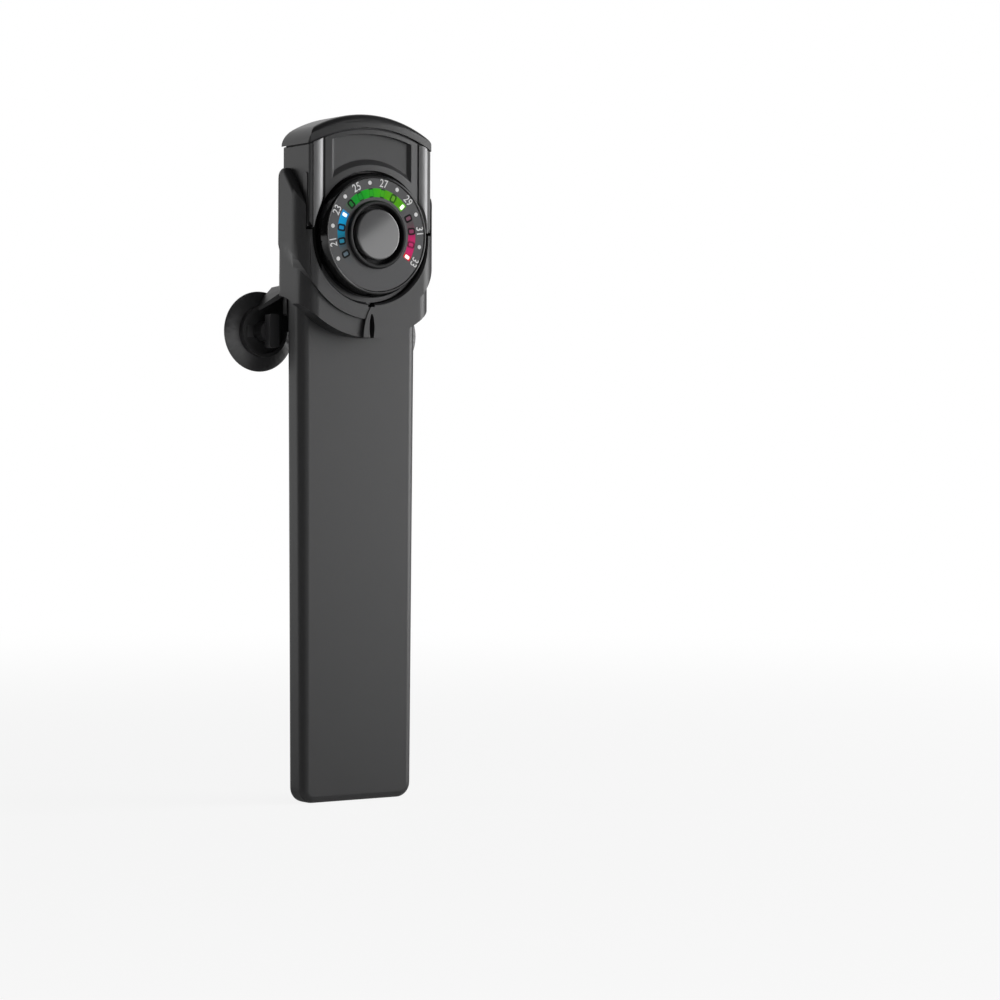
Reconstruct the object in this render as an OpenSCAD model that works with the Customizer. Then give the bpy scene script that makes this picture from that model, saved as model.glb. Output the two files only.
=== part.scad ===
// Submersible flat aquarium heater in a clip-on holder with two suction cups.
// The frame: +Z up, +X to the heater's right, front towards -Y.
// The origin is on the glass, half way between the two suction cups.
// Depths called "fwd" are millimetres forward of the sleeve's front plane.

/* [Sleeve] */
// Width of the sleeve at its top
sleeve_w_top = 41.2; // [40.4:0.1:42]
// Width of the sleeve at its bottom
sleeve_w_bottom = 38.6; // [37:0.1:40]
// Thickness of the sleeve at its top
sleeve_t = 9; // [8.6:0.1:11]
// Thickness of the sleeve at its bottom
sleeve_t_bottom = 8.4; // [8.2:0.1:10]
// Height of the sleeve's shoulder, where the head sits on it
sleeve_h = 153.4; // [140:0.1:170]
// Wall of the sleeve
sleeve_wall = 1.6; // [1.2:0.1:1.8]
// Radius of the sleeve's bottom corners, seen from the front
sleeve_foot_r = 3.4; // [3:0.1:5]
// Radius of the sleeve's rounded edges
sleeve_edge_r = 2.2; // [1.6:0.1:2.3]
// Height of the neck that plugs into the head
neck_h = 8; // [6:0.5:10]
// Thickness of the rubber seal on the sleeve's shoulder
seal_t = 0.6; // [0.4:0.1:1]

/* [Head] */
// How far the head stands out past the sleeve on each side
head_over = 0.6; // [0.4:0.1:1]
// How far the head's front corners stand forward of the sleeve
head_fwd = 6.2; // [5.8:0.1:7]
// Radius of the bow across the head's front
head_bow_r = 255; // [200:5:400]
// Radius of the head's upright corners in front
head_corner_r = 1.8; // [1:0.1:2.5]
// Radius of the head's upright corners at the back
head_back_r = 0.6; // [0.4:0.1:1.5]
// Wall of the head shell
head_wall = 1.6; // [1.4:0.1:2]
// Height of the head's front side edge above the dial's centre, at the middle of its top
head_rise = 30.9; // [30:0.1:34]
// Radius of the arch along the head's top edge
head_arch_r = 44; // [42:1:60]
// Radius of the glossy upright bars at the front corners
pillar_r = 1.5; // [1.2:0.1:1.8]
// How far the bars stand forward of the head's front corners
pillar_proud = 0.9; // [0.4:0.1:1.1]
// Distance from the head's side to the middle of each bar
pillar_in = 2.9; // [2.6:0.1:3]
// Length of the small guide rib on each side of the head
guide_rib_l = 15.8; // [12:0.1:18]

/* [Front cover] */
// Distance from the head's side to the front cover
cover_in = 4.6; // [4.5:0.1:5.2]
// Thickness of the cover panel, behind the head's front corners
cover_t = 3.2; // [2.6:0.1:3.4]
// Distance from the head's side to the recessed panel
recess_in = 7; // [6.8:0.1:9.2]
// Width of the slope at each side of the recessed panel
recess_slope = 1.5; // [0.5:0.1:2]
// Depth of the recessed panel
recess_d = 1.3; // [0.6:0.1:1.6]
// Width of the frame bar between the recess and the cap
recess_margin = 1.3; // [1:0.1:3]
// Radius of the round housing that carries the dial
housing_r = 19.7; // [19.5:0.1:20]
// How far the round housing stands forward of the sleeve
housing_fwd = 4.4; // [4:0.1:4.6]
// Width of the bevel round the collar above the dial
collar_bevel = 1.7; // [1:0.1:2]

/* [Dial] */
// Height of the dial's centre above the sleeve's shoulder
dial_rise = 13.6; // [13:0.1:14.4]
// Radius of the glossy bezel
bezel_r = 18.3; // [18:0.1:18.6]
// Radius of the printed face
face_r = 16.6; // [16.2:0.1:16.8]
// How far the face stands forward of the sleeve
face_fwd = 9.1; // [8.9:0.1:9.5]
// Height of the bezel's sloping front
bezel_slope = 2.6; // [2:0.1:2.8]
// Width of the bezel's front rim round the face
bezel_rim = 0.9; // [0.6:0.1:1]
// Thickness of the printed face
face_t = 1.2; // [0.8:0.1:1.4]
// Number of light windows for the low range, blue
blue_count = 4; // [4:1:4]
// Number of light windows for the middle range, green
green_count = 6; // [6:1:6]
// Number of light windows for the high range, red
red_count = 4; // [4:1:4]
// Angle between two light windows
window_step = 18.4; // [14:0.1:20]
// Radius of the circle through the light windows
window_ring_r = 12.3; // [12:0.1:12.6]
// Length of a light window along the dial's radius
window_l = 2.5; // [2:0.1:2.6]
// Width of a light window
window_w = 1.35; // [1:0.05:1.5]

/* [Button] */
// Radius of the button
button_r = 7.4; // [7:0.1:7.8]
// How far the button's top stands forward of the dial face
button_proud = 1.2; // [1.2:0.1:1.8]
// Thickness of the button's disc
button_t = 2; // [1.6:0.1:2.2]
// Radius of the button's stem
stem_r = 1.8; // [1.5:0.1:2]
// Travel of the button
button_travel = 0.8; // [0.4:0.1:0.8]
// Outer radius of the raised collar round the button
collar_r = 10.1; // [10:0.1:10.4]
// Radius of the collar's opening
collar_bore_r = 8.8; // [8.3:0.1:9]
// How far the collar stands forward of the dial face
collar_proud = 1; // [0.6:0.1:1.1]

/* [Cap] */
// Height of the cap at its middle
cap_h = 4.1; // [3.6:0.1:4.6]
// How far the cap overhangs the head
cap_over = 0.3; // [0.2:0.1:0.6]
// Radius of the arch across the cap's top
cap_arch_r = 40; // [38:1:44]
// Radius of the cap's round shoulders
cap_end_r = 6; // [4:0.5:6.5]
// Radius of the round front edge along the cap's arch
cap_roll_r = 3.2; // [2:0.1:3.4]
// Radius of the round back edge along the cap's arch
cap_back_r = 2.6; // [1:0.1:3]
// Depth of the cap's plug inside the head
plug_h = 3; // [2:0.5:4]
// Height of the groove between the cap and the head
cap_gap = 0.6; // [0.4:0.1:1]

/* [Holder] */
// How far the holder's lower band stands out past the head on each side
band_over = 1.2; // [1.1:0.1:2]
// How far the lower band stands forward of the sleeve
band_fwd = 5.6; // [4.6:0.1:5.8]
// Radius of the lower band's bottom edge
band_r = 31; // [29.5:0.1:33]
// Height of that edge's centre above the dial's centre
band_rise = 0.9; // [0:0.1:1.5]
// Radius of the lower band's front corners
band_corner_r = 5; // [3:0.1:5.4]
// Radius of the upper band's bottom edge, about the dial's centre
step_r = 24.7; // [24.4:0.1:26]
// How far the wings stand out past the lower band
wing_out = 1.7; // [1:0.1:2]
// Radius of the wings' front corners
wing_corner_r = 6; // [4:0.1:6.4]
// How far back the wings reach behind the sleeve's front plane
wing_d = 7.5; // [6.5:0.1:9]
// How far the upper band stands forward of the lower one
step_fwd = 0.8; // [0.4:0.1:1.2]
// Radius of the wings' round tips
wing_tip_r = 2.5; // [1.5:0.1:2.8]
// Lean of the wings' front edges from the upright, in degrees
wing_lean = 39; // [36:0.5:42]
// Height of the wings' tips above the dial's centre
wing_rise = 19.4; // [17:0.1:22]
// Radius of the round front lip
lip_r = 20.6; // [20.4:0.1:21.2]
// Height of the back bridge
bridge_h = 12; // [8:0.5:14]
// Thickness of the back bridge
bridge_t = 2; // [1.6:0.1:2.4]
// Width of the latch fin at its foot
fin_w = 5.8; // [5:0.1:6.6]
// Height of the latch fin
fin_h = 9.6; // [8.5:0.1:10]
// How far the fin stands forward of the band
fin_proud = 1.1; // [0.9:0.1:1.8]
// Clearance between the heater and the holder
slide_clear = 0.35; // [0.3:0.05:0.5]

/* [Suction cups] */
// Gap between the sleeve's back and the glass
glass_gap = 12.3; // [12:0.1:14]
// Height of the sleeve's shoulder above the cups
cup_drop = 14.4; // [12.4:0.1:15.4]
// Half the distance between the cups
cup_x = 22; // [21.5:0.1:23]
// Radius of a cup's rim
cup_r = 11.9; // [11:0.1:13]
// Outer radius of the socket that holds a cup
socket_r = 7.6; // [7:0.1:8.2]
// Wall of the socket
socket_wall = 1; // [0.8:0.1:1.3]
// Distance from the glass to the socket's back
socket_stand = 1.65; // [1.6:0.05:2.2]
// Depth of the socket's dish
dish_d = 1.4; // [1:0.1:1.8]
// Thickness of the socket's floor
floor_t = 0.8; // [0.6:0.1:1]
// Radius of the cup's neck
cup_neck_r = 3; // [2.6:0.1:3.2]
// Height of the cup's hammer head
hammer_h = 10; // [8:0.5:11]
// Width of the cup's hammer head
hammer_w = 3.2; // [2.6:0.1:3.6]
// Depth of the cup's hammer head
hammer_d = 2.8; // [2:0.1:3]

/* [Inside] */
// Width of the mica card
core_w = 30; // [24:0.5:32]
// Height of the mica card
core_h = 116; // [90:1:120]
// Distance between the rows of heating wire
wire_pitch = 6; // [5:0.5:10]
// Width of the circuit board
board_w = 35; // [33:0.5:36]
// Thickness of the circuit board
board_t = 1.2; // [1:0.1:1.6]
// Radius of the cord's hole in the gland
gland_bore_r = 3; // [2.5:0.1:3.2]

/* [Hidden] */
$fn = 64;

// Small gap between pieces that are fitted together and don't move
fit_gap = 0.1;
// Overshoot of a cutting shape past the face it cuts
over = 1;
// Overlap that fuses two shapes of one piece
weld = 0.2;
// Lengths of cutting shapes, more than the object's depth and the head's height
reach = 1.2 * sleeve_w_top;
tall = 2 * head_rise;

// ---- heights above the sleeve's bottom and depths forward of its front ----
neck_side = 1.6;
head_z0 = sleeve_h + seal_t;
dial_z = sleeve_h + dial_rise;
cup_z = sleeve_h - cup_drop;
head_top = dial_z + head_rise;
head_half = sleeve_w_top / 2 + head_over;
cover_half_w = head_half - cover_in;
recess_half_w = head_half - recess_in;
pillar_x = head_half - pillar_in;
band_half_w = head_half + band_over;
head_mid_fwd = head_fwd + pillar_x * pillar_x / (2 * head_bow_r);
chin_z = dial_z + 0.8;
chin_corner_r = 3.6;
pillar_y = -head_fwd - pillar_proud + pillar_r;
rib_out = 0.3;
neck_half_w = sleeve_w_top / 2 - neck_side;
neck_inset = head_wall + 0.2;
neck_r = 1.4;
neck_wall = 1.3;
cavity_half_w = head_half - head_wall;
cover_back = head_fwd - cover_t;
recess_floor = head_mid_fwd - recess_d;
bezel_back = housing_fwd;
bezel_side_fwd = face_fwd - bezel_slope;
ledge_w = 1.6;
rim_proud = 0.15;
face_back = face_fwd - face_t;
window_count = blue_count + green_count + red_count;
arch_z = head_top - head_arch_r;
cap_top = head_top + cap_gap + cap_h;
cap_arch_z = cap_top - cap_arch_r;

// front cover and dial
key_w = 1.6;
key_out = 0.7;
window_hole_r = window_ring_r + window_l / 2 + 0.6;
groove_r0 = window_hole_r + 0.8;
groove_r1 = groove_r0 + 1.3;
groove_d = 1.1;
window_clear = 0.05;

// electronics
board_back = 0.4;
board_front = board_back + board_t;
board_rise = 24;
board_z1 = dial_z + board_rise;
board_below = 15;
board_neck = 4;
board_side = 3.2;
board_corner_r = 2;
board_clear = 0.2;
screw_head_h = 1;
screw_head_r = 1.7;
pocket_fwd = board_front + screw_head_h + fit_gap;
led_t = 0.6;
chip_x = -9;
chip_rise = 2;
chip_w = 7;
chip_t = 1.3;
triac_x = 3.5;
triac_rise = 1;
triac_w = 9;
triac_l = 10;
triac_t = 4.4;
capacitor_x = -12;
capacitor_rise = 14.5;
capacitor_w = 15;
capacitor_l = 7.5;
capacitor_t = 5.5;
window_back = board_front + led_t + fit_gap;
post_r = 2;
screw_r = 0.9;
screw_l = 5;
screw_in = 2.3;
screw_x = board_w / 2 - screw_in;
screw_zs = [dial_z - 1, board_z1 - 2];
sensor_r = 1.2;
sensor_l = 4;
sensor_x = screw_x - post_r - sensor_r - 0.5;
gland_rise = 21;
gland_z = dial_z + gland_rise;
gland_r = 4.4;

// button and switch
button_fwd = face_fwd + button_proud;
button_edge_r = 0.5;
collar_edge = 0.4;
seal_seat = face_back - 1.4;
switch_fwd = board_front + 2.4;
switch_w = 6;
plunger_r = 1.6;
plunger_proud = button_travel + fit_gap;
stem_end = switch_fwd + plunger_proud;

// heating stack: flat sheets held in the middle of the sleeve, from front to back
core_t = 1;
wire_t = 0.4;
sheet_t = 0.4;
plate_t = 1.2;
core_z0 = sleeve_foot_r + 3;
core_mid = sleeve_t / 2;
lead_x = 6;
lead_r = 0.5;

// holder and suction cups
cradle_r = housing_r + slide_clear;
band_back = sleeve_t + slide_clear + bridge_t;
bridge_z1 = head_z0 + 1.5;
bridge_z0 = bridge_z1 - bridge_h;
wing_half = band_half_w + wing_out;
wing_fwd = band_fwd + step_fwd;
wing_back = sleeve_t + slide_clear;
wing_tip_z = dial_z + wing_rise;
edge_r = 20.3;
edge_out = 1.1;
wing_tip_y = wing_d - wing_tip_r;
tip_mid_z = wing_tip_z - wing_tip_r;
lean_y = wing_tip_y - wing_tip_r * cos(wing_lean);
lean_z = tip_mid_z + wing_tip_r * sin(wing_lean);
edge_y = edge_r - edge_out - wing_fwd;
edge_z = lean_z + (cos(wing_lean) * (edge_y - lean_y) - edge_r) / sin(wing_lean);
bend_y = edge_y - edge_r * cos(wing_lean);
bend_z = edge_z + edge_r * sin(wing_lean);
sweep_back = 8;
sweep_drop = 15;
sweep_z = dial_z - sweep_drop;
sweep_r0 = 8.2;
sweep_r1 = 12.9;
foot_back = 9;
foot_z = dial_z - band_r + 1;
foot_r = 12;
lip_d = 0.7;
hold_z0 = dial_z - 2 * band_r;
arm_top_z = bridge_z1 - 4.3;
socket_back = -sleeve_t - glass_gap + socket_stand;
dish_fwd = socket_back + floor_t + dish_d;
arm_fwd = -sleeve_t - slide_clear - bridge_t + 0.3;
neck_clear = 0.06;

// ---- helpers ----
// From the heater's frame to the frame of the whole object
module placed() {
    translate([0, -glass_gap - sleeve_t, -cup_z]) children();
}

// A front outline, drawn in X and Z, made solid between two forward depths
module from_front(fwd0, fwd1) {
    translate([0, -fwd0, 0]) rotate([90, 0, 0]) linear_extrude(fwd1 - fwd0) children();
}

// A side outline, drawn in Y and Z, made solid between two places along X
module from_side(x0, x1) {
    translate([x0, 0, 0]) rotate([90, 0, 90]) linear_extrude(x1 - x0) children();
}

// A straight cylinder on an axis that runs front to back
module round_y(r, fwd0, fwd1, x = 0, z = 0) {
    translate([x, -fwd0, z]) rotate([90, 0, 0]) cylinder(r = r, h = fwd1 - fwd0);
}

// A cone on an axis that runs front to back
module cone_y(r0, r1, fwd0, fwd1, x = 0, z = 0) {
    translate([x, -fwd0, z]) rotate([90, 0, 0]) cylinder(r1 = r0, r2 = r1, h = fwd1 - fwd0);
}

// A profile of radius and forward depth, turned about an axis that runs front to back
module turned_y(x = 0, z = 0) {
    translate([x, 0, z]) rotate([90, 0, 0]) rotate_extrude() children();
}

// A box given by its lowest and highest corners
module box(a, b) {
    translate(a) cube(b - a);
}

// A rectangle with round corners
module round_rect(x0, x1, y0, y1, r) {
    translate([x0 + r, y0]) square([x1 - x0 - 2 * r, y1 - y0]);
    translate([x0, y0 + r]) square([x1 - x0, y1 - y0 - 2 * r]);
    for (x = [x0 + r, x1 - r], y = [y0 + r, y1 - r]) translate([x, y]) circle(r);
}

// Plan of a block with its own corner radii in front and at the back
module plan(half_w, fwd, back, front_r, back_r) {
    intersection() {
        round_rect(-half_w, half_w, -fwd, back + 2 * front_r, front_r);
        round_rect(-half_w, half_w, -fwd - 2 * back_r, back, back_r);
    }
}

// Both sides of the object
module both_sides() {
    children();
    mirror([1, 0, 0]) children();
}

// ---- sleeve ----
// One bottom corner of the sleeve: a disc with a rounded edge, facing the front
module foot_corner(half_w, t, foot_r, edge_r) {
    translate([half_w - foot_r, sleeve_t / 2, foot_r])
        rotate([90, 0, 0])
            rotate_extrude($fn = 32)
                for (s = [-1, 1])
                    translate([foot_r - edge_r, s * (t / 2 - edge_r)]) circle(edge_r, $fn = 24);
}

// The tapered body of the sleeve, drawn in by an inset
module sleeve_form(inset, top_z, bottom_z) {
    edge_r = max(sleeve_edge_r - inset / 2, 0.5);
    foot_r = max(sleeve_foot_r - inset, 2 * edge_r);
    hull() {
        translate([0, 0, bottom_z])
            both_sides()
                foot_corner(sleeve_w_bottom / 2 - inset, sleeve_t_bottom - 2 * inset, foot_r, edge_r);
        for (x = [-1, 1], y = [-1, 1])
            translate([
                x * (sleeve_w_top / 2 - inset - 1.4 * edge_r),
                sleeve_t / 2 + y * (sleeve_t / 2 - inset - 1.4 * edge_r),
                top_z - 1
            ])
                cylinder(r = 1.4 * edge_r, h = 1, $fn = 32);
    }
}

module neck_outline(grow) {
    round_rect(-neck_half_w - grow, neck_half_w + grow,
        neck_inset - grow, sleeve_t - neck_inset + grow, neck_r + grow / 2);
}

module sleeve() {
    color("dimgray")
        difference() {
            union() {
                sleeve_form(0, sleeve_h, 0);
                translate([0, 0, sleeve_h - over]) linear_extrude(neck_h + over) neck_outline(0);
            }
            sleeve_form(sleeve_wall, sleeve_h - 4, sleeve_wall);
            translate([0, 0, sleeve_h - 4 - over])
                linear_extrude(neck_h + 5 + over)
                    neck_outline(-neck_wall);
        }
}

module sleeve_seal() {
    color("black")
        translate([0, 0, sleeve_h])
            linear_extrude(seal_t)
                difference() {
                    round_rect(-neck_half_w - 1, neck_half_w + 1, 0.5, sleeve_t - 0.5, 2);
                    neck_outline(0);
                }
}

// ---- head ----
// Everything below the arch along the head's top edge
module under_arch(lower = 0) {
    round_y(head_arch_r - lower, -sleeve_t - reach, head_fwd + reach, 0, arch_z);
}

// Plan of the head, bowed at the front, grown by an overhang
module head_plan(grow) {
    intersection() {
        plan(head_half + grow, head_mid_fwd + grow, sleeve_t + grow,
            max(head_corner_r + grow, 0.6), max(head_back_r + grow, 0.3));
        translate([0, head_bow_r - head_mid_fwd]) circle(head_bow_r + grow, $fn = 180);
    }
}

// Front outline of the part of the head that stands forward of the sleeve
module head_front_outline(grow) {
    round_rect(-head_half - grow, head_half + grow, chin_z - grow, head_top + 5, chin_corner_r);
}

module board_post(x, z) {
    difference() {
        round_y(post_r, -sleeve_t + head_wall - weld, board_back, x, z);
        round_y(screw_r, board_back - screw_l, board_back + over, x, z);
    }
}

module head_shell() {
    color("dimgray")
        difference() {
            union() {
                difference() {
                    intersection() {
                        translate([0, 0, head_z0]) linear_extrude(tall) head_plan(0);
                        under_arch();
                        union() {
                            box([-reach, 0, 0], [reach, reach, 2 * head_top]);
                            from_front(-over, reach) head_front_outline(0);
                        }
                    }
                    // room inside, open at the top
                    translate([0, 0, head_z0 + head_wall])
                        linear_extrude(tall)
                            round_rect(-cavity_half_w, cavity_half_w,
                                head_wall, sleeve_t - head_wall, 1);
                    translate([0, 0, chin_z + head_wall])
                        linear_extrude(tall)
                            round_rect(-cavity_half_w, cavity_half_w,
                                -cover_back + fit_gap, sleeve_t - head_wall, 1);
                    // opening that the board looks out of
                    from_front(-head_wall - over, pocket_fwd) board_outline(board_clear);
                    // opening for the front cover
                    box([-cover_half_w - fit_gap, -reach, 0], [cover_half_w + fit_gap, 0, 2 * head_top]);
                    round_y(housing_r + fit_gap, 0, reach, 0, dial_z);
                    // neck of the sleeve
                    translate([0, 0, head_z0 - over])
                        linear_extrude(head_wall + 2 * over)
                            neck_outline(fit_gap);
                }
                // glossy bars at the front corners
                both_sides()
                    intersection() {
                        difference() {
                            translate([pillar_x, pillar_y, chin_z + 1])
                                cylinder(r = pillar_r, h = tall);
                            round_y(housing_r + fit_gap, 0, reach, 0, dial_z);
                        }
                        under_arch();
                    }
                both_sides() guide_rib();
                both_sides()
                    for (z = screw_zs)
                        board_post(screw_x, z);
            }
            // hole for the cord's gland
            round_y(gland_r, -sleeve_t - over, -sleeve_t + head_wall + over, 0, gland_z);
        }
}

// Low rib on the side wall, which guides the holder's wing
module guide_rib() {
    rib_w = 2;
    rib_y = -head_fwd + head_corner_r + rib_w / 2 - 0.6;
    intersection() {
        box([head_half - weld, rib_y - rib_w / 2, chin_z + 1],
            [head_half + rib_out, rib_y + rib_w / 2, 2 * dial_z]);
        from_side(0, reach)
            translate([rib_y, 0])
                union() {
                    translate([-rib_w / 2, chin_z + 1]) square([rib_w, guide_rib_l - 1]);
                    translate([0, chin_z + guide_rib_l]) circle(rib_w / 2);
                }
    }
}

// ---- front cover ----

module front_cover() {
    color("dimgray")
        difference() {
            union() {
                intersection() {
                    translate([0, 0, chin_z])
                        linear_extrude(tall)
                            intersection() {
                                head_plan(0);
                                translate([-cover_half_w, -reach])
                                    square([2 * cover_half_w, reach - cover_back]);
                            }
                    under_arch();
                    difference() {
                        box([-reach, -reach, 0], [reach, reach, 2 * head_top]);
                        recess();
                    }
                }
                round_y(housing_r, fit_gap, housing_fwd, 0, dial_z);
                // indexing key at the bottom of the housing
                box([-key_w / 2, -housing_fwd, dial_z - housing_r - key_out],
                    [key_w / 2, -housing_fwd + 2, dial_z - housing_r + 1]);
            }
            // round seat of the bezel
            round_y(bezel_r + 0.6, housing_fwd, reach, 0, dial_z);
            // pocket round the board and its screws
            from_front(-over, pocket_fwd) board_outline(board_clear);
            // way through for the lights and the button
            round_y(window_hole_r, -over, reach, 0, dial_z);
            // groove of the bezel's seal
            difference() {
                round_y(groove_r1, housing_fwd - groove_d, housing_fwd + over, 0, dial_z);
                round_y(groove_r0, housing_fwd - groove_d - over, housing_fwd + over, 0, dial_z);
            }
        }
}

// The shallow recessed panel above the dial, bounded below by the dial's bevelled collar
module recess() {
    difference() {
        from_front(recess_floor, head_mid_fwd + over)
            intersection() {
                translate([-recess_half_w, dial_z]) square([2 * recess_half_w, tall]);
                translate([0, arch_z]) circle(head_arch_r - recess_margin, $fn = 180);
            }
        // slopes at both sides
        both_sides()
            translate([0, 0, dial_z])
                linear_extrude(tall)
                    polygon([
                        [recess_half_w, -head_mid_fwd - over],
                        [recess_half_w + over, -head_mid_fwd - over],
                        [recess_half_w + over, over - recess_floor],
                        [recess_half_w - recess_slope, over - recess_floor],
                        [recess_half_w - recess_slope, -recess_floor],
                        [recess_half_w, -head_mid_fwd]
                    ]);
        cone_y(housing_r + 0.9 + collar_bevel + 0.1, housing_r + 0.9 - 0.1,
            recess_floor - 0.1, head_mid_fwd + 0.1, 0, dial_z);
    }
}

// ---- cap ----
// Front outline of the cap: a wide arch that runs into round shoulders
module cap_outline() {
    end_x = head_half + cap_over - cap_end_r;
    end_z = cap_arch_z + sqrt((cap_arch_r - cap_end_r) ^ 2 - end_x ^ 2);
    // where the arch runs into the round shoulders
    meet_x = end_x * cap_arch_r / (cap_arch_r - cap_end_r);
    intersection() {
        translate([0, cap_arch_z]) circle(cap_arch_r, $fn = 180);
        union() {
            translate([-meet_x, dial_z]) square([2 * meet_x, tall]);
            translate([-end_x - cap_end_r, dial_z])
                square([2 * (end_x + cap_end_r), end_z - dial_z]);
            for (x = [-end_x, end_x]) translate([x, end_z]) circle(cap_end_r);
        }
    }
}

// The space under the cap's top: an arch turned with round front and back edges, cut to the outline
module under_cap_arch() {
    fwd0 = -sleeve_t - cap_over;
    fwd1 = head_mid_fwd + cap_over;
    intersection() {
        from_front(fwd0 - over, fwd1 + over) cap_outline();
        turned_y(0, cap_arch_z) {
            translate([0, fwd0]) square([cap_arch_r - cap_roll_r, fwd1 - fwd0]);
            translate([0, fwd0 + cap_back_r])
                square([cap_arch_r, fwd1 - fwd0 - cap_roll_r - cap_back_r]);
            translate([cap_arch_r - cap_roll_r, fwd1 - cap_roll_r]) circle(cap_roll_r);
            translate([cap_arch_r - cap_back_r, fwd0 + cap_back_r]) circle(cap_back_r);
        }
    }
}

module top_cap() {
    color("dimgray")
        union() {
            difference() {
                intersection() {
                    translate([0, 0, dial_z]) linear_extrude(tall) head_plan(cap_over);
                    under_cap_arch();
                }
                round_y(head_arch_r, -sleeve_t - reach, head_fwd + reach, 0, arch_z + cap_gap);
            }
            // plug that closes the head
            difference() {
                translate([0, 0, dial_z])
                    linear_extrude(tall)
                        round_rect(-cavity_half_w + fit_gap, cavity_half_w - fit_gap,
                            -cover_back + 2 * fit_gap, sleeve_t - head_wall - fit_gap, 1);
                difference() {
                    box([-reach, -reach, 0], [reach, reach, 2 * head_top]);
                    round_y(head_arch_r, -sleeve_t - reach, head_fwd + reach, 0, arch_z + cap_gap + weld);
                }
                round_y(head_arch_r - plug_h, -sleeve_t - reach, head_fwd + reach, 0, arch_z);
                translate([0, 0, dial_z - over])
                    linear_extrude(tall)
                        round_rect(-cavity_half_w + 1.4, cavity_half_w - 1.4,
                            -cover_back + 1.4, sleeve_t - head_wall - 1.4, 1);
            }
        }
}

module cap_seal() {
    color("black")
        intersection() {
            difference() {
                translate([0, 0, dial_z]) linear_extrude(tall) head_plan(-0.6);
                translate([0, 0, dial_z - over])
                    linear_extrude(tall + 2 * over)
                        round_rect(-cavity_half_w, cavity_half_w,
                            -cover_back, sleeve_t - head_wall, 1);
                under_arch();
            }
            round_y(head_arch_r, -sleeve_t - reach, head_fwd + reach, 0, arch_z + cap_gap);
        }
}

// ---- dial ----
module bezel() {
    color([0.03, 0.03, 0.03])
        turned_y(0, dial_z)
            polygon([
                [face_r - ledge_w, bezel_back], [bezel_r, bezel_back], [bezel_r, bezel_side_fwd],
                [face_r + bezel_rim, face_fwd - rim_proud],
                [face_r + bezel_rim - 2 * rim_proud, face_fwd + rim_proud],
                [face_r + rim_proud, face_fwd + rim_proud], [face_r, face_fwd],
                [face_r, face_back], [face_r - ledge_w, face_back]
            ]);
}

module bezel_seal() {
    color("black")
        translate([0, -bezel_back + 0.5 * (groove_r1 - groove_r0) - 0.1, dial_z])
            rotate([90, 0, 0])
                rotate_extrude()
                    translate([(groove_r0 + groove_r1) / 2, 0])
                        circle((groove_r1 - groove_r0) / 2 - 0.1, $fn = 24);
}

// Places one shape at each light window of a group, counted clockwise from the lowest
module at_windows(first, count) {
    for (i = [first : first + count - 1])
        translate([0, 0, dial_z])
            rotate([0, (i - (window_count - 1) / 2) * window_step, 0])
                translate([0, 0, window_ring_r])
                    children();
}

// Outline of one light window: a rectangle with round corners
module window_outline(grow) {
    round_rect(-window_w / 2 - grow, window_w / 2 + grow,
        -window_l / 2 - grow, window_l / 2 + grow, 0.4);
}

module window_bars(first, count) {
    at_windows(first, count) from_front(window_back, face_fwd) window_outline(0);
}

module dial_face() {
    color([0.27, 0.27, 0.28])
        difference() {
            round_y(face_r - fit_gap / 2, face_back, face_fwd, 0, dial_z);
            round_y(collar_bore_r + 0.6 + window_clear, face_back - over, face_fwd + over, 0, dial_z);
            at_windows(0, window_count)
                from_front(face_back - over, face_fwd + over)
                    window_outline(window_clear);
        }
}

module blue_windows() {
    color([0.1, 0.6, 0.85]) window_bars(0, blue_count);
}

module green_windows() {
    color([0.3, 0.8, 0.3]) window_bars(blue_count, green_count);
}

module red_windows() {
    color([0.85, 0.3, 0.45]) window_bars(blue_count + green_count, red_count);
}

// ---- button ----

module button_collar() {
    color([0.2, 0.2, 0.2])
        turned_y(0, dial_z)
            polygon([
                [collar_bore_r - 0.8, seal_seat], [collar_bore_r + 0.6, seal_seat],
                [collar_bore_r + 0.6, face_fwd], [collar_r, face_fwd],
                [collar_r - collar_edge / 3, face_fwd + collar_proud - collar_edge],
                [collar_r - collar_edge, face_fwd + collar_proud],
                [collar_bore_r + collar_edge / 2, face_fwd + collar_proud],
                [collar_bore_r, face_fwd + collar_proud - collar_edge / 2],
                [collar_bore_r, seal_seat + 0.9], [collar_bore_r - 0.8, seal_seat + 0.9]
            ]);
}

module button_seal() {
    color("black")
        turned_y(0, dial_z)
            translate([stem_r + fit_gap, seal_seat])
                square([collar_bore_r - 0.8 - stem_r - fit_gap, 0.5]);
}

module button() {
    back = button_fwd - button_t;
    color([0.4, 0.4, 0.41])
        union() {
            turned_y(0, dial_z) {
                translate([0, back]) square([button_r - button_edge_r, button_t]);
                translate([0, back]) square([button_r, button_t - button_edge_r]);
                translate([button_r - button_edge_r, button_fwd - button_edge_r])
                    circle(button_edge_r, $fn = 24);
            }
            round_y(stem_r, stem_end, back + weld, 0, dial_z);
        }
}

module switch_plunger() {
    color("black")
        round_y(plunger_r, switch_fwd - 1, stem_end, 0, dial_z);
}

module switch_housing() {
    color([0.3, 0.3, 0.32])
        difference() {
            box([-switch_w / 2, -switch_fwd, dial_z - switch_w / 2],
                [switch_w / 2, -board_front, dial_z + switch_w / 2]);
            round_y(plunger_r + 0.05, switch_fwd - 1.2 - button_travel, switch_fwd + over, 0, dial_z);
        }
}

// ---- electronics ----

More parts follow.
